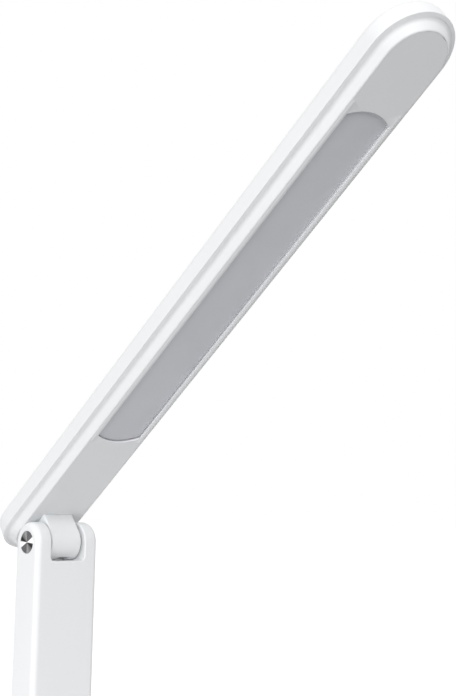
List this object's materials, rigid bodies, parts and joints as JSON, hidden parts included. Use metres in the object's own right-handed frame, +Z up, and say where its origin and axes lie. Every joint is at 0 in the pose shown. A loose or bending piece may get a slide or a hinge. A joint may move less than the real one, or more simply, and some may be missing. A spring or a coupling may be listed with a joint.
{
  "type": "folding desk lamp",
  "caption": "Folding desk lamp: a weighted base, an upright stem and a long slim light head, joined by two friction hinges.",
  "frame": {"origin": "middle of the footprint of the base, on the surface the lamp stands on", "axes": "+Z up, +X along both hinge pins, the head reaches towards -Y"},
  "size_m": [0.124, 0.271, 0.5855],
  "materials": {
    "shell_white": "satin white moulded plastic",
    "under_white": "plain white moulded plastic",
    "pad_silicone": "matt grey silicone",
    "zinc_steel": "zinc-plated screws",
    "raw_steel": "plain rolled steel",
    "cell_wrap": "silver pouch foil",
    "board_green": "solder-masked circuit board",
    "key_clear": "polished touch window",
    "contact_brass": "bare contact spring",
    "inlet_steel": "pressed inlet sleeve",
    "wire_red": "insulated hook-up wire",
    "pin_steel": "turned steel",
    "turned_steel": "spun metal face with rings round its centre",
    "diffuser_milk": "milky light diffuser, unlit",
    "tray_white": "bright white reflector",
    "board_aluminium": "white-masked aluminium board",
    "chip_phosphor": "yellow phosphor chips"
  },
  "bodies": {
    "base": {"base_cover": "shell_white", "base_plate": "under_white", "base_pad": "pad_silicone", "base_screws": "zinc_steel", "ballast_plate": "raw_steel", "base_post": "shell_white", "post_screws": "zinc_steel", "battery_cell": "cell_wrap", "control_board": "board_green", "touch_key": "key_clear", "touch_spring": "contact_brass", "charge_socket": "inlet_steel", "socket_board": "board_green", "base_wires": "wire_red"},
    "stem": {"lower_pin": "pin_steel", "lower_washers": "pin_steel", "lower_spring_washers": "pin_steel", "lower_nut": "pin_steel", "lower_caps": "turned_steel", "stem_shell": "shell_white", "stem_back_cover": "shell_white", "stem_wires": "wire_red", "upper_pin": "pin_steel", "upper_washers": "pin_steel", "upper_spring_washers": "pin_steel", "upper_nut": "pin_steel", "upper_caps": "turned_steel"},
    "head": {"head_knuckle": "shell_white", "knuckle_screws": "zinc_steel", "head_top_shell": "shell_white", "head_lower_cover": "shell_white", "diffuser": "diffuser_milk", "reflector_tray": "tray_white", "led_board": "board_aluminium", "led_chips": "chip_phosphor", "head_wires": "wire_red"}
  },
  "joints": [
    {"name": "stem_hinge", "type": "hinge", "parent": "base", "child": "stem", "pos_m": [0, 0.07, 0.0454], "axis": [1, 0, 0], "range_deg": [0, 90]},
    {"name": "head_hinge", "type": "hinge", "parent": "stem", "child": "head", "pos_m": [0, 0.07, 0.3754], "axis": [1, 0, 0], "range_deg": [-52, 128]}
  ]
}
